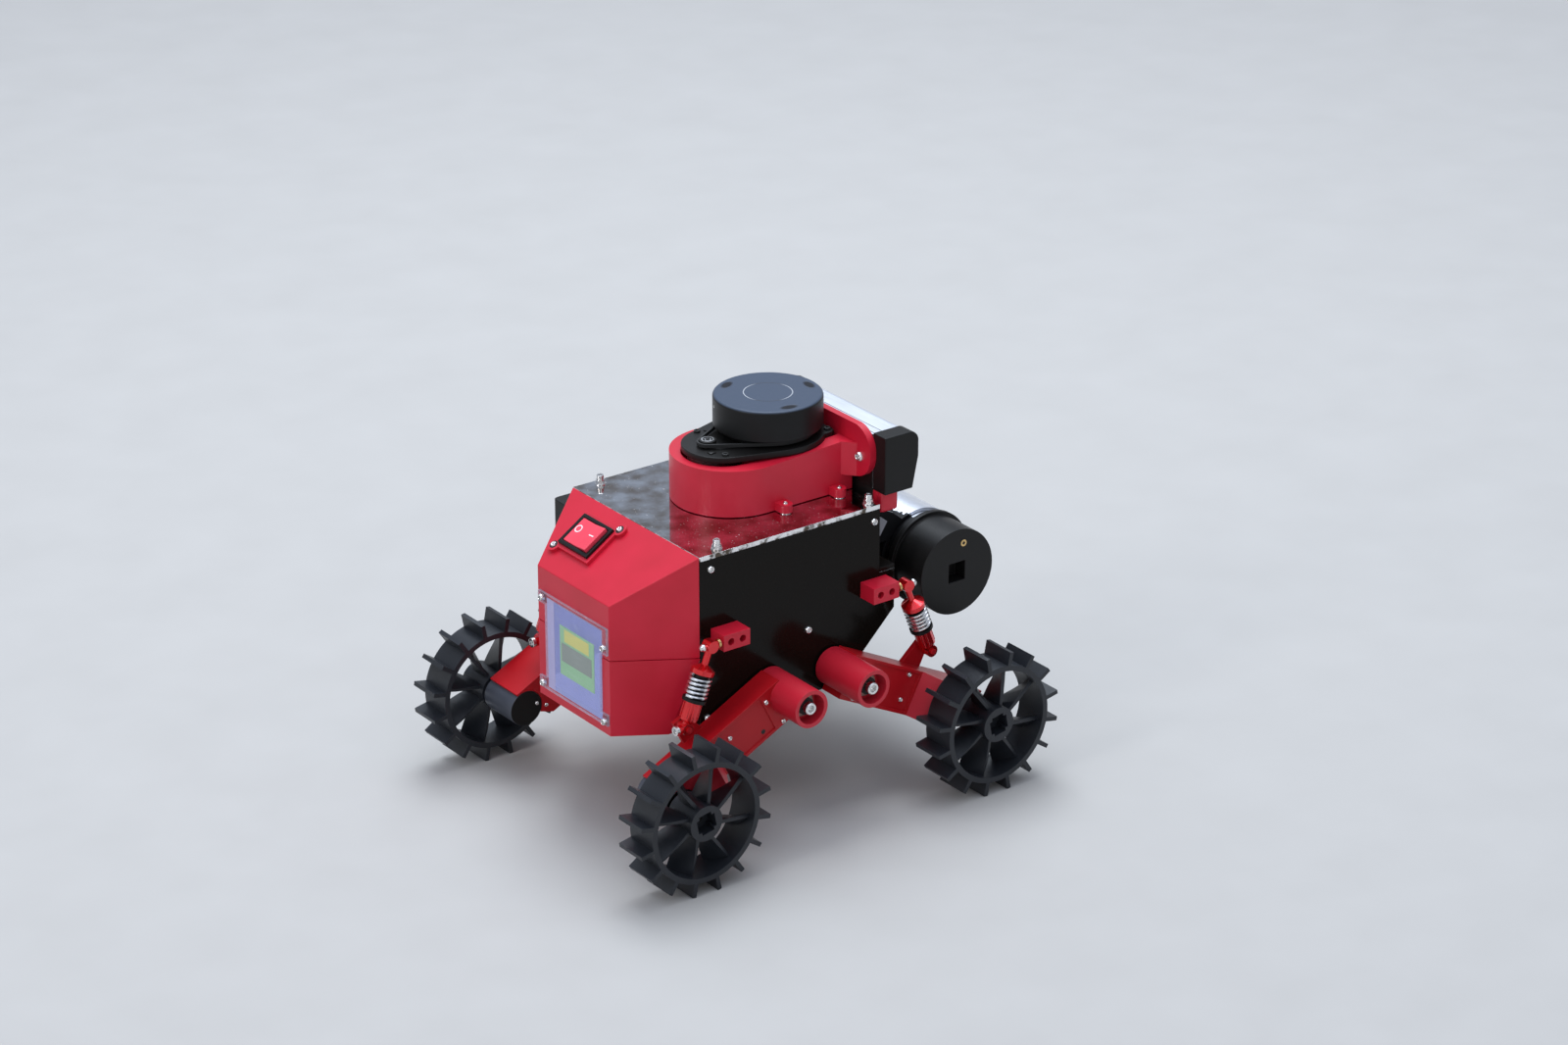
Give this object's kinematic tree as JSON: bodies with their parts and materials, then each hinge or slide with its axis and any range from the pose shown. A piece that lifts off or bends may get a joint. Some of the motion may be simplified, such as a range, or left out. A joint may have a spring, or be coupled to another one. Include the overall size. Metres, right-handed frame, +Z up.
{
  "type": "planetary rover prototype",
  "caption": "Small wheeled rover with a boxed body, folded nose with display, belt driven scanning head, cross drum behind and sprung arms with lugged wheels.",
  "frame": {"origin": "bottom centre of the rover, on the ground under the middle of the wheelbase", "axes": "+X towards the nose with the display, +Y towards the rover's left side, +Z up"},
  "size_m": [0.325, 0.256, 0.2558],
  "materials": {
    "black_plate": "gloss",
    "lid_plate": "mirror gloss",
    "red_print": "satin",
    "clear_cover": "gloss",
    "screen": "gloss",
    "black_plastic": "satin",
    "rubber": "matt",
    "aluminium": "satin",
    "red_anodised": "anodised gloss",
    "spring_steel": "bright",
    "wheel_print": "matt"
  },
  "bodies": {
    "chassis": {"lid_plate": "lid_plate", "side_plate_left": "black_plate", "side_plate_right": "black_plate", "floor_plate": "black_plate", "mid_deck": "black_plate", "back_upper_plate": "black_plate", "back_lower_plate": "black_plate", "nose_upper_shell": "red_print", "nose_lower_shell": "red_print", "display_cover": "clear_cover", "display_screen": "screen", "switch_bezel": "red_print", "switch_frame": "black_plastic", "switch_rocker": "red_print", "lidar_mount": "red_print", "lidar_base": "black_plastic", "lidar_motor": "aluminium", "lidar_belt": "rubber", "sensor_bar": "aluminium", "sensor_bar_cap_left": "black_plastic", "sensor_bar_cap_right": "black_plastic", "drum_tube": "aluminium", "drum_cap_left": "black_plastic", "drum_cap_right": "black_plastic", "drum_saddle": "black_plastic", "side_box": "black_plastic", "arm_front_left": "red_print", "drive_front_left": "black_plastic", "shock_bracket_front_left": "red_print", "shock_upper_front_left": "red_anodised", "shock_lower_front_left": "red_anodised", "spring_front_left": "spring_steel", "arm_front_right": "red_print", "drive_front_right": "black_plastic", "shock_bracket_front_right": "red_print", "shock_upper_front_right": "red_anodised", "shock_lower_front_right": "red_anodised", "spring_front_right": "spring_steel", "arm_back_left": "red_print", "drive_back_left": "black_plastic", "shock_bracket_back_left": "red_print", "shock_upper_back_left": "red_anodised", "shock_lower_back_left": "red_anodised", "spring_back_left": "spring_steel", "arm_back_right": "red_print", "drive_back_right": "black_plastic", "shock_bracket_back_right": "red_print", "shock_upper_back_right": "red_anodised", "shock_lower_back_right": "red_anodised", "spring_back_right": "spring_steel"},
    "scan_head": {"lidar_head": "black_plastic"},
    "drive_pulley": {"lidar_pulley": "black_plastic"},
    "wheel_front_left": {"wheel_front_left": "wheel_print"},
    "wheel_front_right": {"wheel_front_right": "wheel_print"},
    "wheel_back_left": {"wheel_back_left": "wheel_print"},
    "wheel_back_right": {"wheel_back_right": "wheel_print"}
  },
  "joints": [
    {"name": "wheel_front_left_spin", "type": "hinge", "parent": "chassis", "child": "wheel_front_left", "pos_m": [0.1142, 0.116, 0.04833], "axis": [0, 1, 0], "continuous": true},
    {"name": "wheel_front_right_spin", "type": "hinge", "parent": "chassis", "child": "wheel_front_right", "pos_m": [0.1142, -0.116, 0.04833], "axis": [0, 1, 0], "continuous": true},
    {"name": "wheel_back_left_spin", "type": "hinge", "parent": "chassis", "child": "wheel_back_left", "pos_m": [-0.1142, 0.116, 0.04833], "axis": [0, 1, 0], "continuous": true},
    {"name": "wheel_back_right_spin", "type": "hinge", "parent": "chassis", "child": "wheel_back_right", "pos_m": [-0.1142, -0.116, 0.04833], "axis": [0, 1, 0], "continuous": true},
    {"name": "scan_head_spin", "type": "hinge", "parent": "chassis", "child": "scan_head", "pos_m": [-0.0265, 0, 0.2354], "axis": [0, 0, 1], "continuous": true},
    {"name": "drive_pulley_spin", "type": "hinge", "parent": "chassis", "child": "drive_pulley", "pos_m": [0.0195, -0.001, 0.2305], "axis": [0, 0, 1], "continuous": true}
  ],
  "couplings": [
    {"joint": "drive_pulley_spin", "follows": "scan_head_spin", "ratio": 5.2727}
  ]
}
